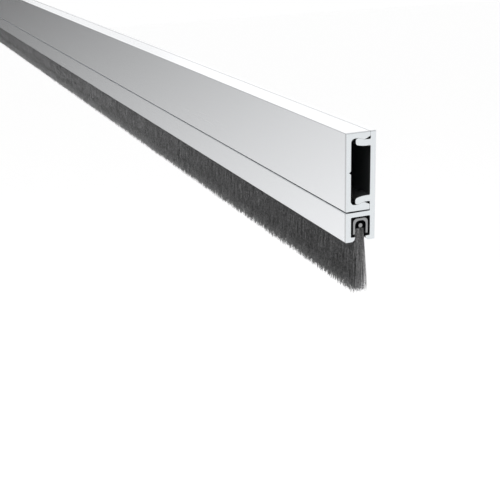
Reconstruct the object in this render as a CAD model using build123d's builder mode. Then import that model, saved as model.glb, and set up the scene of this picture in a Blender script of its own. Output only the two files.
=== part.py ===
from build123d import *
from math import sin
import os

# Brush astragal: a two-part aluminium strip that carries a brush seal, screwed to a door's meeting edge.
# +X runs along the strip, +Y points at the door, +Z is up. The door's face is the plane Y = 0, and the
# origin lies on it at mid-length, on the line of the fixing holes. All sizes are in millimetres.

# Overall size of the aluminium
LENGTH = 1000.0
HEIGHT = 34.0
DEPTH = 10.0

# Base: back plate, brush holder and snap arms
PLATE = 1.8
COVER_HEIGHT = 24.25
COVER_GAP = 0.42
CHAMBER_RISE = 0.12
HOLDER_HEIGHT = HEIGHT - COVER_HEIGHT - COVER_GAP
HOLDER_WALL = 1.77
HOLDER_BACK = 1.68
HOLDER_ROOF = 1.5
HOLDER_LIP = 1.43
LIP_ROUND = 1.25
LIP_NOSE = 0.15
MOUTH = 3.7
ARM_THICK = 1.92
ARM_INNER_Z = 7.7
ARM_REACH = 6.8
ARM_RISE = 0.55
ARM_BEND_Y = 3.8
ARM_TOE = 1.1
ARM_ROOT = 0.3

# Cover: web, legs with a snap ridge, drill line
WEB = 1.65
CHAMBER_HALF = 10.26
SNAP_CLEARANCE = 0.05
LEAD_IN = 0.97
GROOVE_DEPTH = 0.65
GROOVE_HALF = 0.5

# Edge rounding of the extrusions
ARRIS = 0.18
SEAM_ROUND = 0.45
GAP_ROOT = 0.3
INNER_ROUND = 0.35

# Fixing holes for 4 mm pan-head screws
HOLE = 4.5
HOLES = 6
HOLE_PITCH = 180.0

# Brush strip
CHANNEL_WIDTH = 5.0
CHANNEL_WALL = 0.65
CHANNEL_DEPTH = 4.93
CHANNEL_DROP = 0.54
CHANNEL_ROUND = 1.3
CHANNEL_INNER_ROUND = 1.48
WIRE = 1.3
WIRE_DROP = 2.83
BRUSH_OUT = 16.0
NECK_WIDTH = 3.1
TIP_WIDTH = 4.9
TUFTS = 200
TUFT_DEPTH = 0.32

# Places worked out from the sizes above. The holes and the chamber sit a little above the cover's middle,
# where the drill line is, and the pack lies against the front leg of its channel and the front lip.
TOP = COVER_HEIGHT / 2 - CHAMBER_RISE
COVER_BOTTOM = TOP - COVER_HEIGHT
HOLDER_TOP = COVER_BOTTOM - COVER_GAP
BOTTOM = HOLDER_TOP - HOLDER_HEIGHT
FRONT = -DEPTH
PLATE_FACE = -PLATE
WEB_INNER = FRONT + WEB
CAVITY_ROOF = HOLDER_TOP - HOLDER_ROOF
CAVITY_FLOOR = BOTTOM + HOLDER_LIP
CAVITY_FRONT = FRONT + HOLDER_WALL
CAVITY_BACK = -HOLDER_BACK
BRUSH_Y = (CAVITY_FRONT + CAVITY_BACK) / 2
GROOVE_Z = -CHAMBER_RISE
ARM_OUTER_Z = ARM_INNER_Z + ARM_THICK
RIDGE_Z = ARM_OUTER_Z + SNAP_CLEARANCE
CHANNEL_TOP = CAVITY_ROOF - CHANNEL_DROP
CHANNEL_INNER = CHANNEL_WIDTH - 2 * CHANNEL_WALL
CHANNEL_ROOF = CHANNEL_TOP - CHANNEL_WALL
PACK_Y = BRUSH_Y - (CHANNEL_INNER - NECK_WIDTH) / 2
WIRE_Z = CAVITY_ROOF - WIRE_DROP
FOLD_END_Z = WIRE_Z - WIRE / 2 - 0.1
NECK_END_Z = BOTTOM + HOLDER_LIP * 0.55
TIPS_Z = BOTTOM - BRUSH_OUT

# Every section is drawn on the cut end at -X, with Y across and Z up, and extruded along the whole length
CUT_END = Plane.YZ.offset(-LENGTH / 2)

# Base profile: one extrusion with the plate, two snap arms and the brush holder
with BuildPart() as base_profile:
    with BuildSketch(CUT_END) as base_section:
        with Locations((-PLATE / 2, (TOP + BOTTOM) / 2)):
            Rectangle(PLATE, HEIGHT)
        with Locations((FRONT / 2, (HOLDER_TOP + BOTTOM) / 2)):
            Rectangle(DEPTH, HOLDER_HEIGHT)
        holder_corners = base_section.vertices().filter_by_position(Axis.X, FRONT - 0.01, FRONT + 0.01)
        fillet(holder_corners, ARRIS)
        fillet(base_section.vertices().group_by(Axis.Y)[-1], ARRIS)
        back_corners = base_section.vertices().filter_by_position(Axis.X, -0.01, 0.01)
        fillet(back_corners.sort_by(Axis.Y)[0], ARRIS)
        with Locations((BRUSH_Y, (CAVITY_ROOF + CAVITY_FLOOR) / 2)):
            RectangleRounded(
                CAVITY_BACK - CAVITY_FRONT, CAVITY_ROOF - CAVITY_FLOOR, INNER_ROUND, mode=Mode.SUBTRACT
            )
        with Locations((BRUSH_Y, BOTTOM)):
            Rectangle(MOUTH, 2 * HOLDER_LIP + INNER_ROUND, mode=Mode.SUBTRACT)
        mouth_corners = base_section.vertices().filter_by_position(
            Axis.X, BRUSH_Y - MOUTH / 2 - 0.01, BRUSH_Y + MOUTH / 2 + 0.01
        )
        fillet(mouth_corners.group_by(Axis.Y)[0], LIP_ROUND)
        fillet(mouth_corners.group_by(Axis.Y)[-1], LIP_NOSE)
        # Snap arm: springs from the plate, bends outward and ends in a rounded tip
        with BuildLine():
            FilletPolyline(
                (PLATE_FACE + PLATE / 2, ARM_INNER_Z),
                (-ARM_BEND_Y - 0.6, ARM_INNER_Z),
                (-ARM_REACH, ARM_INNER_Z + ARM_RISE),
                (-ARM_REACH, ARM_OUTER_Z + ARM_RISE),
                (-ARM_REACH + ARM_TOE, ARM_OUTER_Z + ARM_RISE),
                (-ARM_BEND_Y, ARM_OUTER_Z),
                (PLATE_FACE + PLATE / 2, ARM_OUTER_Z),
                radius=(0, 10.0, 0.9, 0.7, 1.6, 3.0, 0),
                close=True,
            )
        arm = make_face()
        mirror(arm, about=Plane.XZ)
        plate_corners = base_section.vertices().filter_by_position(
            Axis.X, PLATE_FACE - 0.01, PLATE_FACE + 0.01
        )
        arm_roots = plate_corners.filter_by_position(Axis.Y, -ARM_OUTER_Z - 0.01, ARM_OUTER_Z + 0.01)
        fillet(arm_roots, ARM_ROOT)
        plate_corners = base_section.vertices().filter_by_position(
            Axis.X, PLATE_FACE - 0.01, PLATE_FACE + 0.01
        )
        gap_root = plate_corners.filter_by_position(Axis.Y, HOLDER_TOP - 0.01, HOLDER_TOP + 0.01)
        fillet(gap_root, GAP_ROOT)
    extrude(amount=LENGTH)
    with Locations(Plane((0, PLATE_FACE, 0), x_dir=(1, 0, 0), z_dir=(0, -1, 0))):
        with GridLocations(HOLE_PITCH, 0, HOLES, 1):
            Hole(HOLE / 2)

# Cover profile: C-shaped face that snaps over the arms; its leg ends bear on the plate
with BuildPart() as cover_profile:
    with BuildSketch(CUT_END) as cover_section:
        with Locations(((FRONT + PLATE_FACE) / 2, (TOP + COVER_BOTTOM) / 2)):
            Rectangle(DEPTH - PLATE, COVER_HEIGHT)
        fillet(cover_section.vertices().group_by(Axis.X)[0], ARRIS)
        fillet(cover_section.vertices().group_by(Axis.X)[-1], SEAM_ROUND)
        with BuildLine() as chamber_half:
            FilletPolyline(
                (PLATE_FACE, 0),
                (PLATE_FACE, RIDGE_Z + LEAD_IN),
                (-ARM_BEND_Y, RIDGE_Z),
                (-ARM_REACH + ARM_TOE, RIDGE_Z + ARM_RISE),
                (-ARM_REACH + ARM_TOE / 2, CHAMBER_HALF),
                (WEB_INNER, CHAMBER_HALF),
                (WEB_INNER, 0),
                radius=(0, 0, 1.2, 0.6, 0.5, 1.3, 0),
                close=True,
            )
        half_chamber = make_face(mode=Mode.SUBTRACT)
        mirror(half_chamber, about=Plane.XZ, mode=Mode.SUBTRACT)
        with BuildLine():
            Polyline(
                (WEB_INNER, GROOVE_Z + GROOVE_HALF),
                (WEB_INNER - GROOVE_DEPTH, GROOVE_Z),
                (WEB_INNER, GROOVE_Z - GROOVE_HALF),
                close=True,
            )
        make_face(mode=Mode.SUBTRACT)
    extrude(amount=LENGTH)

# Brush channel: sheet steel folded to a U, open side down
with BuildPart() as brush_channel:
    with BuildSketch(CUT_END) as channel_section:
        with Locations((BRUSH_Y, CHANNEL_TOP - CHANNEL_DEPTH / 2)):
            Rectangle(CHANNEL_WIDTH, CHANNEL_DEPTH)
        fillet(channel_section.vertices().group_by(Axis.Y)[-1], CHANNEL_ROUND)
        with BuildSketch(mode=Mode.PRIVATE) as channel_hollow:
            with Locations((BRUSH_Y, CHANNEL_ROOF - CHANNEL_DEPTH / 2)):
                Rectangle(CHANNEL_INNER, CHANNEL_DEPTH)
            fillet(channel_hollow.vertices().group_by(Axis.Y)[-1], CHANNEL_INNER_ROUND)
        add(channel_hollow.sketch, mode=Mode.SUBTRACT)
    extrude(amount=LENGTH)

# Core wire: the filaments are folded over it
with BuildPart() as core_wire:
    with BuildSketch(CUT_END):
        with Locations((BRUSH_Y, WIRE_Z)):
            Circle(WIRE / 2)
    extrude(amount=LENGTH)

# Filament pack: folded over the wire, pinched in the channel and between the lips, then flared and tufted
def pack_outline(width):
    """Plan outline of the pack: each side is a row of tufts with V-shaped valleys of varied depth between."""
    step = LENGTH / TUFTS
    front, back = [(-LENGTH / 2, PACK_Y - width / 2)], [(-LENGTH / 2, PACK_Y + width / 2)]
    for tuft in range(TUFTS):
        valley_x = -LENGTH / 2 + (tuft + 0.5) * step
        half_valley = width / 2 - TUFT_DEPTH * (1 + 0.4 * sin(2.4 * tuft))
        front += [(valley_x, PACK_Y - half_valley), (valley_x + step / 2, PACK_Y - width / 2)]
        back += [(valley_x, PACK_Y + half_valley), (valley_x + step / 2, PACK_Y + width / 2)]
    return front + back[::-1]


with BuildPart() as brush_filaments:
    with BuildSketch(Plane.XY.offset(NECK_END_Z)):
        with BuildLine():
            Polyline(*pack_outline(NECK_WIDTH), close=True)
        make_face()
    with BuildSketch(Plane.XY.offset(TIPS_Z)):
        with BuildLine():
            Polyline(*pack_outline(TIP_WIDTH), close=True)
        make_face()
    loft(ruled=True)
    with BuildSketch(CUT_END) as fold_section:
        with Locations((BRUSH_Y, (CHANNEL_ROOF + FOLD_END_Z) / 2)):
            Rectangle(CHANNEL_INNER, CHANNEL_ROOF - FOLD_END_Z)
        fillet(fold_section.vertices().group_by(Axis.Y)[-1], CHANNEL_INNER_ROUND)
        with Locations((PACK_Y, (FOLD_END_Z + NECK_END_Z) / 2)):
            Rectangle(NECK_WIDTH, FOLD_END_Z - NECK_END_Z)
        with Locations((BRUSH_Y, WIRE_Z)):
            Circle(WIRE / 2, mode=Mode.SUBTRACT)
    extrude(amount=LENGTH)

pieces = {
    "base_profile": base_profile,
    "cover_profile": cover_profile,
    "brush_channel": brush_channel,
    "core_wire": core_wire,
    "brush_filaments": brush_filaments,
}
os.makedirs("parts", exist_ok=True)
for name, piece in pieces.items():
    piece.part.label = name
    export_step(piece.part, f"parts/{name}.step")
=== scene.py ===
# Brush astragal: an aluminium door strip in two snapped parts, with a steel-backed brush along its lower
# edge. The sections follow the strip as it is put together, and the studio and the camera come last. Sizes
# are in metres.
import math

import bpy
import numpy as np
from mathutils import Matrix


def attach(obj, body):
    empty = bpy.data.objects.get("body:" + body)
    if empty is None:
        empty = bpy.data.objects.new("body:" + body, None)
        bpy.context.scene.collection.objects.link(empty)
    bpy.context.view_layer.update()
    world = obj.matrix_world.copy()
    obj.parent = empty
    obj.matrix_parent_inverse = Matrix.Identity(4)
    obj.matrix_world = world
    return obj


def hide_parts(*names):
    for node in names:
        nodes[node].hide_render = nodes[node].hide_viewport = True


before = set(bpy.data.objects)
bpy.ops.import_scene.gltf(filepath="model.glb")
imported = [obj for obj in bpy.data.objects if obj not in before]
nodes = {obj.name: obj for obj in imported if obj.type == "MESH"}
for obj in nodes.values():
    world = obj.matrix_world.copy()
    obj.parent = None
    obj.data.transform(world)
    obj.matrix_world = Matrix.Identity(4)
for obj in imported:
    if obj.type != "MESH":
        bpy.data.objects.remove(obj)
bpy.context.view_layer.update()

# Base profile: the extrusion that is screwed to the door, with its back plate, two snap arms and brush
# holder. It is aluminium, drawn through a die, anodised to a satin silver and sawn to length, and the cover
# takes the same finish.
HALF_LENGTH = 0.5
ALUMINIUM_LOW, ALUMINIUM_HIGH = (0.85, 0.861, 0.878), (0.86, 0.87, 0.885)
CUT_ALUMINIUM = (0.792, 0.823, 0.842)
DIE_LINES_PER_METRE, DIE_LINE_STRETCH = 1500.0, 200
BLADE_CENTRE, CUT_FACE_NORMAL, ALUMINIUM_SAW_MARKS = (0.0, 0.09, 0.11), (0.8, 0.95), 2600.0
SATIN_ROUGHNESS, SAWN_ROUGHNESS = (0.26, 0.28), (0.38, 0.5)
LINE_HEIGHT, LINE_STRENGTH, SAW_MARK_HEIGHT = 0.000002, 0.1, 4.0

# Each box is its middle and its half size. The hollows are the screw chamber and the brush holder, the gap
# is the slot under the cover, the lip is the holder's upper front edge, and the seam is the line along the
# top where the cover meets the plate. The greys that darken the hollows, the gap, the lip, the seam and a
# hair's breadth along the edges are painted shade.
HOLLOWS_BOX = (0, -0.00503, -0.0051), (1, 0.0042, 0.0158)
HOLLOWS_PAINTED_SHADE, HOLLOWS_DULLING = (0.24, 0.25, 0.26), 0.18
GAP_BOX = (0, -0.00585, -0.012455), (1, 0.00416, 0.00027)
GAP_SHADE_TINT, GAP_DULLING = (0.96, 1.0, 1.04), 0.43
GAP_FRONT_Y, GAP_MOUTH_Y, GAP_BACK_Y = -0.01, -0.0085, -0.002
GAP_FRONT_TONE, GAP_MOUTH_TONE, GAP_BACK_TONE = 0.66, 0.12, 0.55
LIP_BOX = (0, -0.01, -0.012885), (1, 0.0001, 0.00017)
SEAM_BOX = (0, -0.0018, 0.012), (1, 0.0003, 0.0002)
ROUNDED_SHADE = (0.9, 0.9, 0.9)
BASE_EDGES = (0, 0, -0.014), (HALF_LENGTH, 0.01015, 0.026005)
EDGE_SHADE, EDGE_WIDTH = (0.68, 0.68, 0.685), (0.00075, 0.0002, 0.00026)


def put(tree, kind, inputs=None, **settings):
    """Adds a shader node, makes its settings, and fills its inputs with numbers or links."""
    made = tree.nodes.new("ShaderNode" + kind)
    for name, value in settings.items():
        setattr(made, name, value)
    for socket, value in (inputs or {}).items():
        if isinstance(value, bpy.types.NodeSocket):
            tree.links.new(value, made.inputs[socket])
        else:
            made.inputs[socket].default_value = value
    return made


def maths(tree, operation, *values):
    """A Math node on numbers or links."""
    return put(tree, "Math", dict(enumerate(values)), operation=operation).outputs[0]


def vectors(tree, operation, *values):
    """A Vector Math node on vectors or links."""
    return put(tree, "VectorMath", dict(enumerate(values)), operation=operation).outputs[0]


def ranged(tree, value, low, high, from_low=0.0, from_high=1.0):
    """A Map Range node that takes value from one range to another."""
    ends = {"Value": value, "From Min": from_low, "From Max": from_high, "To Min": low, "To Max": high}
    return put(tree, "MapRange", ends).outputs[0]


def mixed(tree, mask, low, high, blend="MIX"):
    """A Mix node between two colours, given as numbers or links, by a mask."""
    low, high = (c if isinstance(c, bpy.types.NodeSocket) else (*c, 1) for c in (low, high))
    inputs = {"Factor": mask, "A": low, "B": high}
    return put(tree, "Mix", inputs, data_type="RGBA", blend_type=blend).outputs["Result"]


def new_group(name, takes, gives):
    """An empty shader node group with named sockets, and the sockets inside it."""
    group = bpy.data.node_groups.new(name, "ShaderNodeTree")
    for direction, sockets in (("INPUT", takes), ("OUTPUT", gives)):
        for socket, kind in sockets.items():
            group.interface.new_socket(socket, in_out=direction, socket_type="NodeSocket" + kind)
    taken = group.nodes.new("NodeGroupInput").outputs
    given = group.nodes.new("NodeGroupOutput").inputs
    return group, taken, given


def die_lines_group():
    """Faint lines that the die leaves along the extrusion: noise stretched 200 times along X."""
    takes = {"Vector": "Vector", "Lines per metre": "Float"}
    group, takes, gives = new_group("die_lines", takes, {"Lines": "Float"})
    stretched = vectors(group, "MULTIPLY", takes["Vector"], (1 / DIE_LINE_STRETCH, 1.0, 1.0))
    inputs = {"Vector": stretched, "Scale": takes["Lines per metre"], "Detail": 4.0, "Roughness": 0.62}
    group.links.new(put(group, "TexNoise", inputs).outputs["Fac"], gives["Lines"])
    return group


def saw_cut_group():
    """Cut ends. The mask goes from 0 to 1 as a face turns towards X, by the X of its normal. The marks are
    noise on the distance from the blade's centre, which is behind the section and above it, so they are
    arcs."""
    takes = {"Vector": "Vector", "Normal": "Vector", "Marks per metre": "Float"}
    group, takes, gives = new_group("saw_cut", takes, {"Cut face": "Float", "Marks": "Float"})
    across = put(group, "SeparateXYZ", {0: takes["Normal"]}).outputs["X"]
    cut_face = ranged(group, maths(group, "ABSOLUTE", across), 0.0, 1.0, *CUT_FACE_NORMAL)
    group.links.new(cut_face, gives["Cut face"])
    from_blade = vectors(group, "SUBTRACT", takes["Vector"], BLADE_CENTRE)
    flat = vectors(group, "MULTIPLY", from_blade, (0.0, 1.0, 1.0))
    radius = put(group, "VectorMath", {0: flat}, operation="LENGTH").outputs["Value"]
    inputs = {"W": radius, "Scale": takes["Marks per metre"], "Detail": 3.0, "Roughness": 0.7}
    arcs = put(group, "TexNoise", inputs, noise_dimensions="1D")
    group.links.new(arcs.outputs["Fac"], gives["Marks"])
    return group


def box_masks_group():
    """Masks of a box square to the axes. A point's room is its distance from each pair of the box's faces,
    inwards. Inside is 1 where its room across Y and Z is above 0. Edge is 1 where two of its three rooms are
    under the edge's width there, which the middle one of the three, each over that width, shows by being
    below 1."""
    takes = {"Vector": "Vector", "Middle": "Vector", "Half size": "Vector", "Edge width": "Vector"}
    group, takes, gives = new_group("box_masks", takes, {"Inside": "Float", "Edge": "Float"})
    offset = vectors(group, "ABSOLUTE", vectors(group, "SUBTRACT", takes["Vector"], takes["Middle"]))
    room = vectors(group, "SUBTRACT", takes["Half size"], offset)
    _, y, z = put(group, "SeparateXYZ", {0: room}).outputs
    inside = maths(group, "GREATER_THAN", maths(group, "MINIMUM", y, z), 0.0)
    group.links.new(inside, gives["Inside"])
    in_widths = vectors(group, "DIVIDE", room, takes["Edge width"])
    x, y, z = put(group, "SeparateXYZ", {0: in_widths}).outputs
    lesser, greater = maths(group, "MINIMUM", x, y), maths(group, "MAXIMUM", x, y)
    middle = maths(group, "MAXIMUM", lesser, maths(group, "MINIMUM", greater, z))
    group.links.new(maths(group, "LESS_THAN", middle, 1.0), gives["Edge"])
    return group


die_lines, saw_cut, box_masks = die_lines_group(), saw_cut_group(), box_masks_group()


def anodised(name, seed_offset, edges_of):
    """Satin anodised aluminium. Die lines vary its tone, roughness and height, and cut faces show the saw's
    arcs. The walls of the hollows are a little dull, and dark with painted shade. Those of the gap are
    duller, and their tone is painted shade that goes by depth: it falls from the front face to the gap's
    mouth, and from there it rises to the plate. The lip and the seam are darkened a little by painted shade,
    and so is a hair's breadth along the edges of the box edges_of."""
    material = bpy.data.materials.new(name)
    material.use_nodes = True
    tree = material.node_tree
    place = put(tree, "TexCoord").outputs
    shifted = put(tree, "Mapping", {"Vector": place["Object"], "Location": (seed_offset, 0, 0)}).outputs[0]
    along = {"Vector": shifted, "Lines per metre": DIE_LINES_PER_METRE}
    lines = put(tree, "Group", along, node_tree=die_lines).outputs[0]
    ends = {"Vector": place["Object"], "Normal": place["Normal"]}
    ends["Marks per metre"] = ALUMINIUM_SAW_MARKS
    cut_face, marks = put(tree, "Group", ends, node_tree=saw_cut).outputs
    masks = []
    for middle, half in (HOLLOWS_BOX, GAP_BOX, LIP_BOX, SEAM_BOX, edges_of):
        box = {"Vector": place["Object"], "Middle": middle, "Half size": half, "Edge width": EDGE_WIDTH}
        masks.append(put(tree, "Group", box, node_tree=box_masks).outputs)
    hollows, gap, lip, seam, edges = masks
    colour = mixed(tree, lines, ALUMINIUM_LOW, ALUMINIUM_HIGH)
    # Painted shade: the walls of the hollows take a dark grey.
    colour = mixed(tree, hollows["Inside"], colour, HOLLOWS_PAINTED_SHADE)
    colour = mixed(tree, cut_face, colour, CUT_ALUMINIUM)
    # Painted shade in the gap: darkest at its mouth, lighter at the front face and towards the plate.
    depth = put(tree, "SeparateXYZ", {0: place["Object"]}).outputs["Y"]
    falling = ranged(tree, depth, GAP_FRONT_TONE, 0.0, GAP_FRONT_Y, GAP_MOUTH_Y)
    rising = ranged(tree, depth, GAP_MOUTH_TONE, GAP_BACK_TONE, GAP_MOUTH_Y, GAP_BACK_Y)
    gap_painted_shade = mixed(tree, maths(tree, "MAXIMUM", falling, rising), (0, 0, 0), GAP_SHADE_TINT)
    colour = mixed(tree, gap["Inside"], colour, gap_painted_shade)
    # Painted shade on the lip's rounded edge and along the seam.
    rounded = maths(tree, "MAXIMUM", lip["Inside"], seam["Inside"])
    colour = mixed(tree, rounded, colour, ROUNDED_SHADE, "MULTIPLY")
    # Painted shade in a hair's breadth along the box's edges.
    colour = mixed(tree, edges["Edge"], colour, EDGE_SHADE, "MULTIPLY")
    satin = ranged(tree, lines, *SATIN_ROUGHNESS)
    satin = maths(tree, "MULTIPLY_ADD", hollows["Inside"], HOLLOWS_DULLING, satin)
    satin = maths(tree, "MULTIPLY_ADD", gap["Inside"], GAP_DULLING, satin)
    rough = {"Factor": cut_face, "A": satin, "B": ranged(tree, marks, *SAWN_ROUGHNESS)}
    height = {"Factor": cut_face, "A": lines, "B": ranged(tree, marks, 0.0, SAW_MARK_HEIGHT)}
    height = put(tree, "Mix", height).outputs["Result"]
    bump = {"Strength": LINE_STRENGTH, "Distance": LINE_HEIGHT, "Height": height}
    skin = tree.nodes["Principled BSDF"].inputs
    skin["Metallic"].default_value = 1.0
    tree.links.new(colour, skin["Base Color"])
    tree.links.new(put(tree, "Mix", rough).outputs["Result"], skin["Roughness"])
    tree.links.new(put(tree, "Bump", bump).outputs[0], skin["Normal"])
    return material


def finish_node(name, material):
    """Gives a CAD node one material in all its slots."""
    slots = nodes[name].data.materials
    slots.clear()
    slots.append(material)


finish_node("base_profile", anodised("base_satin_anodised", 0.0, BASE_EDGES))

# Cover profile: the C-shaped extrusion that snaps over the arms and hides the screws, the wide plain face
# that is seen. It is the same satin anodised aluminium, from another die, so its lines run differently.
COVER_EDGES = (0, -0.005975, -0.0005), (HALF_LENGTH, 0.004175, 0.012505)
finish_node("cover_profile", anodised("cover_satin_anodised", 3.7, COVER_EDGES))

# Brush channel: galvanised sheet steel, folded to a U round the filaments and slid into the holder.
# Its zinc is dull and clouded, and its sawn ends show plain steel.
ZINC_LOW, ZINC_HIGH, SAWN_CHANNEL = (0.22, 0.225, 0.235), (0.36, 0.365, 0.375), (0.35, 0.355, 0.36)
CLOUD_DULLING, CLOUD_STRENGTH, CLOUD_HEIGHT, STEEL_SAW_MARKS = 0.08, 0.3, 0.000008, 3500.0


def steel(name, low, high, sawn, clouds_per_metre, roughness):
    """Dull steel: noise clouds go between two greys and a little either side of its roughness, and cut faces
    are one plain grey."""
    material = bpy.data.materials.new(name)
    material.use_nodes = True
    tree = material.node_tree
    place = put(tree, "TexCoord").outputs
    clouds = {"Vector": place["Object"], "Scale": clouds_per_metre, "Detail": 3.0}
    clouds = put(tree, "TexNoise", clouds).outputs["Fac"]
    ends = {"Vector": place["Object"], "Normal": place["Normal"]}
    ends["Marks per metre"] = STEEL_SAW_MARKS
    cut_face, _ = put(tree, "Group", ends, node_tree=saw_cut).outputs
    skin = tree.nodes["Principled BSDF"].inputs
    skin["Metallic"].default_value = 1.0
    tree.links.new(mixed(tree, cut_face, mixed(tree, clouds, low, high), sawn), skin["Base Color"])
    dull = ranged(tree, clouds, roughness - CLOUD_DULLING, roughness + CLOUD_DULLING)
    tree.links.new(dull, skin["Roughness"])
    bump = {"Strength": CLOUD_STRENGTH, "Distance": CLOUD_HEIGHT, "Height": clouds}
    tree.links.new(put(tree, "Bump", bump).outputs[0], skin["Normal"])
    return material


galvanised = steel("channel_galvanised_steel", ZINC_LOW, ZINC_HIGH, SAWN_CHANNEL, 900.0, 0.45)
finish_node("brush_channel", galvanised)

# Core wire: round drawn steel wire, the length of the strip. The filaments are folded over it and pinched
# on it by the channel.
WIRE_LOW, WIRE_HIGH, SAWN_WIRE = (0.24, 0.24, 0.245), (0.31, 0.31, 0.315), (0.35, 0.352, 0.355)
finish_node("core_wire", steel("wire_drawn_steel", WIRE_LOW, WIRE_HIGH, SAWN_WIRE, 2500.0, 0.4))

# Brush filaments: folded over the wire, pinched in the channel, out past the holder's front lip and down
# in a flare. They are grey-black nylon, 0.16 mm thick. Most are trimmed a little short, and the rest thin
# out to ragged tips.
LIPS_Z, TIPS_Z, CLAMP_Z = -0.021995, -0.037995, -0.017745
CHANNEL_Y, CHANNEL_ROOF_Z, PACK_Y = -0.004955, -0.015375, -0.005255
NECK_HALF, TIP_HALF = 0.00147, 0.0023
FOLD_HALF, FOLD_BEND, FOLD_SHORT = 0.00183, 0.00146, 0.00025
CORE_INSET, CORE_NECK_INSET, CORE_SHORT = 0.00035, 0.0001, 0.0007
CORE_ABOVE_TIPS, CORE_ABOVE_LIPS, CORE_BELOW_CLAMP = 0.0036, 0.001, 0.0003


def carried(name, outline, half_length):
    """A closed prism: the outline, points across Y and Z that go round from +Y over the top, is carried
    along X."""
    k = len(outline)
    points = np.zeros((2, k, 3))
    points[..., 0] = np.array([-half_length, half_length])[:, None]
    points[..., 1:] = outline
    a = np.arange(k)
    b = (a + 1) % k
    sides = np.stack([a, b, b + k, a + k], 1)
    mesh = bpy.data.meshes.new(name)
    faces = [*sides.tolist(), a[::-1].tolist(), (a + k).tolist()]
    mesh.from_pydata(points.reshape(-1, 3).tolist(), [], faces)
    return mesh


def fold_outline():
    """The fold over the wire: two quarter circles of the bend's radius under the channel's roof, and
    straight down to where it is pinched."""
    turn = np.linspace(0, math.pi / 2, 8)
    low, y, z = FOLD_HALF - FOLD_BEND, FOLD_BEND * np.cos(turn), FOLD_BEND * np.sin(turn)
    top_z = CHANNEL_ROOF_Z - FOLD_BEND
    right, left = np.stack([low + y, top_z + z], 1), np.stack([-low - z, top_z + y], 1)
    feet = np.array([[-FOLD_HALF, CLAMP_Z], [FOLD_HALF, CLAMP_Z]])
    return np.concatenate([right, left, feet]) + [CHANNEL_Y, 0]


def core_outline():
    """The dense middle of the pack: straight down to the lips, then flared, a little inside the strands."""
    low_z = TIPS_Z + CORE_ABOVE_TIPS
    low = NECK_HALF + (TIP_HALF - NECK_HALF) * (LIPS_Z - low_z) / (LIPS_Z - TIPS_Z) - CORE_INSET
    neck = NECK_HALF - CORE_NECK_INSET
    right = np.array([[low, low_z], [neck, LIPS_Z + CORE_ABOVE_LIPS], [neck, CLAMP_Z - CORE_BELOW_CLAMP]])
    return np.concatenate([right, right[::-1] * [-1, 1]]) + [PACK_Y, 0]


def three_sided(name, points):
    """Closed three-sided tubes, from their points by strand, ring and corner. Each side is a quad between
    two corners of one ring and the same two of the next, and a flat triangle closes each end."""
    count, rings = points.shape[:2]
    per = rings * 3
    first = (np.arange(count) * per)[:, None]
    a = np.arange((rings - 1) * 3)
    b = a - a % 3 + (a + 1) % 3
    quads = np.stack([first + a, first + a + 3, first + b + 3, first + b], 2).reshape(-1, 4)
    caps = np.concatenate([first + np.array([0, 1, 2]), first + per - 3 + np.array([2, 1, 0])])
    corners = np.concatenate([quads.ravel(), caps.ravel()]).astype(np.int32)
    starts = np.concatenate([np.arange(len(quads)) * 4, len(quads) * 4 + np.arange(len(caps)) * 3])
    mesh = bpy.data.meshes.new(name)
    mesh.vertices.add(count * per)
    mesh.vertices.foreach_set("co", points.ravel())
    mesh.loops.add(len(corners))
    mesh.loops.foreach_set("vertex_index", corners)
    mesh.polygons.add(len(starts))
    mesh.polygons.foreach_set("loop_start", starts.astype(np.int32))
    mesh.update(calc_edges=True)
    flat = mesh.attributes.new("sharp_face", "BOOLEAN", "FACE")
    flat.data.foreach_set("value", np.arange(len(starts)) >= len(quads))
    return mesh


FILAMENT_RADIUS, RADIUS_RANGE, TIP_THINNING = 0.000082, (0.85, 1.15), 0.4
LONGEST, TRIMMED_OFF, ROOT_SCATTER = 0.017, 0.0034, 0.0005
LEAN_ALONG, LEAN_ACROSS, LEAN_LIMIT, BEND = 0.00045, 0.00022, 1.2, 0.00025
END_SPLAY, END_SPLAY_REACH = 0.0006, 0.0016
END_ROOTS_REACH, END_ROOTS_Z, END_ROOT_SCATTER = 0.003, CLAMP_Z - 0.00015, 0.0001
# The values named for the ends, on this line and the next, are painted light and shade on the strands at a
# cut end.
STRAND_TONES, END_LIGHT_REACH, END_LIT_ACROSS = 0.06, 0.0011, (-0.3, 0.4)
END_ROOT_PAINTED_SHADE, END_TIP_PAINTED_LIGHT = -0.4, 3.0


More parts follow.
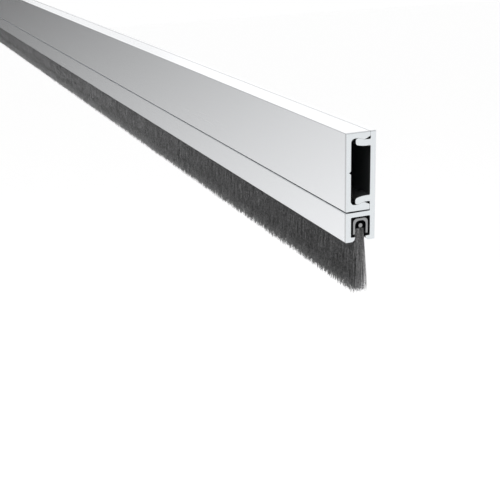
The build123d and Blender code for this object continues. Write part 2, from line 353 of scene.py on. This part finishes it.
def filaments(name, x, across, seed, rings=2, root_z=LIPS_Z + 0.0016, lean=LEAN_ACROSS, trim=0.72):
    """Nylon filaments at the places x along the pack and across it, from -1 at the front to 1 at the back.
    Each goes from its root, at across times the neck's half, to its tip, at across times the tips' half, and
    drop is the share of the way from the lips. It leans by a normal draw along the pack, and by another that
    is cut off across it. Its length below the lips is the longest less what is trimmed off, times an even
    draw to the power trim. The roots are scattered about root_z, but near a cut end they go up to the clamp,
    and the strands there splay outwards by an amount that falls away exponentially. With three rings the
    middle one is moved too, so that the strand bends. A ring is three points at 120 degrees round the line,
    one of them on the pack's outer side, and its radius falls with the square of the way down. The mesh
    carries a per-point tone attribute, 1 and a small normal draw. Behind the pack's middle at a cut end it
    also holds painted light and shade: it starts lower, as painted shade at the roots, and rises towards the
    tip, as painted light, by an amount that falls away exponentially."""
    rng = np.random.default_rng(seed)
    count = len(x)
    own = rng.normal(0, 1, (count, 6))
    own[:, 1] = np.clip(own[:, 1], -LEAN_LIMIT, LEAN_LIMIT)
    from_end = HALF_LENGTH - np.abs(x)
    tip_z = LIPS_Z - (LONGEST - TRIMMED_OFF * rng.uniform(0, 1, count) ** trim)
    top_z = root_z + ROOT_SCATTER * rng.uniform(-1, 1, count)
    clamped_z = END_ROOTS_Z - END_ROOT_SCATTER * np.abs(own[:, 5])
    top_z = np.where(from_end < END_ROOTS_REACH, clamped_z, top_z)
    along = np.linspace(0, 1, rings)[None, :]
    z = top_z[:, None] * (1 - along) + tip_z[:, None] * along
    drop = np.clip((LIPS_Z - z) / (LIPS_Z - TIPS_Z), 0, 1.1)
    bend = np.sin(np.pi * along) * BEND
    lean_x = LEAN_ALONG * own[:, 0] + np.sign(x) * END_SPLAY * np.exp(-from_end / END_SPLAY_REACH)
    lean_y = lean * own[:, 1]
    line_x = x[:, None] + drop * lean_x[:, None] + bend * own[:, 3, None]
    line_y = PACK_Y + across[:, None] * (NECK_HALF + (TIP_HALF - NECK_HALF) * drop)
    line_y += drop * lean_y[:, None] + bend * own[:, 4, None]
    angle = np.sign(across)[:, None, None] * np.pi / 2 + np.arange(3) * 2 * np.pi / 3
    radius = FILAMENT_RADIUS * rng.uniform(*RADIUS_RANGE, count)[:, None] * (1 - TIP_THINNING * along ** 2)
    points = np.zeros((count, rings, 3, 3), np.float32)
    points[..., 0] = line_x[..., None] + radius[..., None] * np.cos(angle)
    points[..., 1] = line_y[..., None] + radius[..., None] * np.sin(angle)
    points[..., 2] = z[..., None]
    mesh = three_sided(name, points)
    # Painted light on the back of the pack at a cut end, rising towards the tips, and painted shade at the
    # roots.
    end_painted_light = np.interp(across, END_LIT_ACROSS, (0, 1)) * np.exp(-from_end / END_LIGHT_REACH)
    light = 1 + STRAND_TONES * np.clip(own[:, 2, None], -2, 2)
    light = light + end_painted_light[:, None] * (END_ROOT_PAINTED_SHADE + END_TIP_PAINTED_LIGHT * along)
    strand = mesh.attributes.new("strand_tone_and_painted_light", "FLOAT", "POINT")
    strand.data.foreach_set("value", np.repeat(light.ravel(), 3).astype(np.float32))
    return mesh


# Painted light: the tips pale where they thin out, and the strands pale a little below the lips, against the
# shade under them.
TIP_PALING, TIP_PALING_REACH = 1.9, 0.0052
NECK_PALING, NECK_PALING_FROM, NECK_PALING_FULL = 1.12, 0.005, 0.012
MOTTLE_PER_METRE, MOTTLE_CONTRAST, STREAKS_PER_METRE = 1700.0, 2.4, (4000.0, 4000.0, 60.0)
NYLON_ROUGHNESS, SHEEN_ROUGHNESS = (0.6, 0.45), 0.4


def nylon(name, dark, light, per_strand, sheen=0.35, specular=0.2):
    """Grey-black nylon. Its tone is mottled: on loose filaments by fine noise, spread about its middle, and
    by each one's own tone, which carries painted light and shade at the cut ends, and otherwise by upright
    streaks. It pales evenly towards the trimmed tips, as painted light where they thin out, and a little
    below the lips, as painted light against the shade under them."""
    material = bpy.data.materials.new(name)
    material.use_nodes = True
    tree = material.node_tree
    place = put(tree, "TexCoord").outputs["Object"]
    height = put(tree, "SeparateXYZ", {0: place}).outputs["Z"]
    # Painted light towards the tips, and just below the lips.
    tips_painted_light = ranged(tree, height, TIP_PALING, 1.0, TIPS_Z, TIPS_Z + TIP_PALING_REACH)
    neck_painted_light = ranged(tree, height, 1.0, NECK_PALING, LIPS_Z - NECK_PALING_FULL, LIPS_Z - NECK_PALING_FROM)
    pale = maths(tree, "MAXIMUM", tips_painted_light, neck_painted_light)
    if per_strand:
        inputs = {"Vector": place, "Scale": MOTTLE_PER_METRE, "Detail": 2.0}
        mottle = put(tree, "TexNoise", inputs).outputs["Fac"]
        tone = maths(tree, "MULTIPLY_ADD", mottle, MOTTLE_CONTRAST, 0.5 - 0.5 * MOTTLE_CONTRAST)
        # This attribute holds each strand's own tone, with painted light and shade at the cut ends.
        strand = put(tree, "Attribute", attribute_name="strand_tone_and_painted_light").outputs["Fac"]
        pale = maths(tree, "MULTIPLY", pale, strand)
    else:
        stretched = vectors(tree, "MULTIPLY", place, STREAKS_PER_METRE)
        tone = put(tree, "TexNoise", {"Vector": stretched, "Scale": 1.0, "Detail": 2.0}).outputs["Fac"]
    inputs = {0: mixed(tree, tone, dark, light), "Scale": pale}
    skin = tree.nodes["Principled BSDF"].inputs
    tree.links.new(put(tree, "VectorMath", inputs, operation="SCALE").outputs[0], skin["Base Color"])
    tree.links.new(ranged(tree, tone, *NYLON_ROUGHNESS), skin["Roughness"])
    skin["Specular IOR Level"].default_value = specular
    skin["Sheen Weight"].default_value = sheen
    skin["Sheen Roughness"].default_value = SHEEN_ROUGHNESS
    return material


# The fold's near-black, with no gloss or sheen, is painted shade: the dark inside the channel.
FOLD_SHADE_DARK, FOLD_SHADE_LIGHT = (0.001, 0.001, 0.0012), (0.003, 0.003, 0.0035)
CORE_SHADE_DARK, CORE_SHADE_LIGHT = (0.03, 0.03, 0.031), (0.07, 0.07, 0.072)
STRAND_DARK, STRAND_LIGHT = (0.062, 0.062, 0.063), (0.225, 0.225, 0.228)
fold_nylon_painted_shade = nylon("fold_nylon_painted_shade", FOLD_SHADE_DARK, FOLD_SHADE_LIGHT, False, sheen=0.0, specular=0.0)
# The core's greys, darker than the loose strands', are painted shade of the pack's depths.
core_nylon = nylon("pack_core_nylon", CORE_SHADE_DARK, CORE_SHADE_LIGHT, False)
strand_nylon = nylon("filament_nylon", STRAND_DARK, STRAND_LIGHT, True)

END = HALF_LENGTH - 0.0001
FRONT, MIDDLE, BACK = (-1, -0.8), (-0.7, 0.7), (1.25, 0.5)
FRONT_COUNT, MIDDLE_COUNT, BACK_COUNT, END_COUNT = 11000, 14000, 20000, 1600
END_CROWD, END_POWER, BACK_POWER, BACK_LEAN = 0.0012, 1.5, 0.5, 0.00045
MIDDLE_ROOT_Z, MIDDLE_TRIM = TIPS_Z + 0.006, 0.45
places = np.random.default_rng(5)


def row(count, low_x, high_x, band, power=1.0):
    """Even random places along the pack, and across it the band's first value plus its width times an even
    draw to a power. A power below 1 makes the places near the first value the rarer."""
    x, draw = places.uniform(low_x, high_x, count), places.uniform(0, 1, count)
    return x, band[0] + (band[1] - band[0]) * draw ** power


def brush_piece(mesh, finish):
    """Puts one part of the brush on the strip, in its material, in place of the solid pack."""
    piece = bpy.data.objects.new(mesh.name, mesh)
    bpy.context.scene.collection.objects.link(piece)
    mesh.materials.append(finish)
    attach(piece, "root")
    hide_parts("brush_filaments")


# The middle rows show only at the cut ends and below, so they are few and short, and some are moved to the
# very ends.
middle_x, middle_across = row(MIDDLE_COUNT, -END, END, MIDDLE)
at_ends = middle_x[:END_COUNT]
at_ends[:] = np.sign(at_ends) * (END - END_CROWD * places.uniform(0, 1, END_COUNT) ** END_POWER)
# The fold is near black with painted shade.
brush_piece(carried("brush_fold", fold_outline(), HALF_LENGTH - FOLD_SHORT), fold_nylon_painted_shade)
brush_piece(carried("brush_pack_core", core_outline(), HALF_LENGTH - CORE_SHORT), core_nylon)
for k, low in enumerate((-END, -END / 3, END / 3), 1):
    front_x, front_across = row(FRONT_COUNT, low, low + 2 * END / 3, FRONT)
    front = filaments(f"brush_front_rows_{k}", front_x, front_across, seed=11 + k, rings=3)
    brush_piece(front, strand_nylon)
for k, low in enumerate((-END, 0), 1):
    back_x, back_across = row(BACK_COUNT, low, low + END, BACK, BACK_POWER)
    back = filaments(f"brush_back_rows_{k}", back_x, back_across, seed=14 + k, lean=BACK_LEAN)
    brush_piece(back, strand_nylon)
ends = {"root_z": MIDDLE_ROOT_Z, "trim": MIDDLE_TRIM}
brush_piece(filaments("brush_middle_rows", middle_x, middle_across, seed=17, **ends), strand_nylon)

# Floor: a plain pale sheet well under the strip, which hangs clear of it as it does on a door.
# It renders as white paper, and it keeps the strip's soft shadow.
FLOOR_Z, FLOOR_HALF = -0.9, 8.0
PAPER_TONE, PAPER_GLOW = (0.8, 0.8, 0.8, 1), 0.8


def sheet(name, corners):
    """One flat face through four corners."""
    mesh = bpy.data.meshes.new(name)
    mesh.from_pydata(corners, [], [(0, 1, 2, 3)])
    made = bpy.data.objects.new(name, mesh)
    bpy.context.scene.collection.objects.link(made)
    material = bpy.data.materials.new(name + "_finish")
    material.use_nodes = True
    mesh.materials.append(material)
    return made, material.node_tree


def seen(tree):
    """1 for the rays that come straight from the camera, or by way of gloss or glass."""
    path = put(tree, "LightPath").outputs
    direct = maths(tree, "MAXIMUM", path["Is Camera Ray"], path["Is Glossy Ray"])
    return maths(tree, "MAXIMUM", direct, path["Is Transmission Ray"])


floor_corners = [(x * FLOOR_HALF, y * FLOOR_HALF, FLOOR_Z) for x, y in ((-1, -1), (1, -1), (1, 1), (-1, 1))]
_, paper = sheet("studio_floor", floor_corners)
skin = paper.nodes["Principled BSDF"].inputs
skin["Base Color"].default_value = PAPER_TONE
skin["Roughness"].default_value = 0.9
skin["Specular IOR Level"].default_value = 0.1
skin["Emission Color"].default_value = (1, 1, 1, 1)
paper.links.new(maths(paper, "MULTIPLY", seen(paper), PAPER_GLOW), skin["Emission Strength"])

# Grey card: stands beyond the far end, seen only in the metal, and darkens from its edge towards the strip's
# line. It gives the long face its even fade from light at the near end to mid grey far away.
CARD_X, CARD_EDGE_Y, CARD_FRONT_Y, CARD_TOP_Z = -1.6, 0.24, -1.7, 0.35
CARD_DARK, CARD_LEAST, CARD_PER_Y, CARD_PER_Z = -0.03, 0.02, 0.38, 0.78
CARD_BULGE, CARD_NEAR, CARD_FAR = 0.34, 0.95, 0.17
card_corners = [
    (CARD_X, CARD_EDGE_Y, FLOOR_Z), (CARD_X, CARD_FRONT_Y, FLOOR_Z),
    (CARD_X, CARD_FRONT_Y, CARD_TOP_Z), (CARD_X, CARD_EDGE_Y, CARD_TOP_Z),
]
card, glow = sheet("grey_card", card_corners)
card.visible_camera = card.visible_diffuse = card.visible_shadow = False
glow.nodes.remove(glow.nodes["Principled BSDF"])

# Its level falls with Y and Z, and a bulge, the product of its distances from two levels, lifts what lies
# between them.
place = put(glow, "TexCoord").outputs["Object"]
fall = {0: place, 1: (0, -CARD_PER_Y, -CARD_PER_Z)}
slope = put(glow, "VectorMath", fall, operation="DOT_PRODUCT").outputs["Value"]
level = maths(glow, "MAXIMUM", maths(glow, "ADD", slope, CARD_DARK), CARD_LEAST)
below_near, above_far = maths(glow, "SUBTRACT", CARD_NEAR, level), maths(glow, "SUBTRACT", level, CARD_FAR)
bulge = maths(glow, "MAXIMUM", maths(glow, "MULTIPLY", below_near, above_far), 0.0)
light = put(glow, "Emission", {"Strength": maths(glow, "MULTIPLY_ADD", bulge, CARD_BULGE, level)})
glow.links.new(light.outputs[0], glow.nodes["Material Output"].inputs["Surface"])

# Studio light: an even white surround, and four large soft lamps. One is above the front, and one behind the
# far end. One is low in front of the middle and one off the near end, and these two light only what isn't
# metal.
SURROUND_ON_STRIP, SURROUND_SEEN = 0.2, 1.0
world = bpy.data.worlds.new("studio")
bpy.context.scene.world = world
world.use_nodes = True
sky = world.node_tree
surround = sky.nodes["Background"].inputs
surround["Color"].default_value = (1, 1, 1, 1)
sky.links.new(ranged(sky, seen(sky), SURROUND_ON_STRIP, SURROUND_SEEN), surround["Strength"])


def level_axes(forward):
    """The directions to the right of forward and up from it, with the right one level."""
    right = np.cross(forward, [0, 0, 1])
    right /= np.linalg.norm(right)
    return right, np.cross(right, forward)


def aim(thing, place, right, up, forward):
    """Stands thing at place, with its X to the right, its Y up and its -Z forward."""
    rows = [[right[i], up[i], -forward[i], place[i]] for i in range(3)]
    thing.matrix_world = Matrix(rows + [[0, 0, 0, 1]])


def soft_lamp(name, place, size, watts, in_metal=True):
    """A square area lamp that faces the middle of the strip."""
    data = bpy.data.lights.new(name, "AREA")
    data.size, data.energy = size, watts
    lamp = bpy.data.objects.new(name, data)
    bpy.context.scene.collection.objects.link(lamp)
    lamp.visible_glossy = in_metal
    forward = -np.array(place) / np.linalg.norm(place)
    aim(lamp, place, *level_axes(forward), forward)


soft_lamp("key_softbox", (0.5, -1.1, 1.5), 1.4, 9.0)
soft_lamp("back_softbox", (-1.7, 1.15, 0.7), 1.1, 0.65)
soft_lamp("fill_softbox", (0.1, -0.53, -0.1), 0.4, 2.75, in_metal=False)
soft_lamp("end_softbox", (1.3, 0.8, -0.1), 0.6, 14.0, in_metal=False)

# Camera: at the photograph's viewpoint, close to the near cut end, looking back along the strip.
LENS, SENSOR = 69.78, 36.0
CAMERA = (0.748673, -0.140898, 0.074963)
YAW, PITCH, ROLL = (math.radians(a) for a in (21.7896, 19.3687, -1.6421))
flat_way = math.cos(PITCH)
forward = np.array([-math.cos(YAW) * flat_way, math.sin(YAW) * flat_way, -math.sin(PITCH)])
level_right, level_up = level_axes(forward)
right = math.cos(ROLL) * level_right + math.sin(ROLL) * level_up
up = -math.sin(ROLL) * level_right + math.cos(ROLL) * level_up
lens = bpy.data.cameras.new("camera")
lens.lens, lens.sensor_width = LENS, SENSOR
lens.clip_start, lens.clip_end = 0.01, 60.0
camera = bpy.data.objects.new("camera", lens)
bpy.context.scene.collection.objects.link(camera)
aim(camera, CAMERA, right, up, forward)
bpy.context.scene.camera = camera
bpy.context.scene.view_settings.view_transform = "Standard"
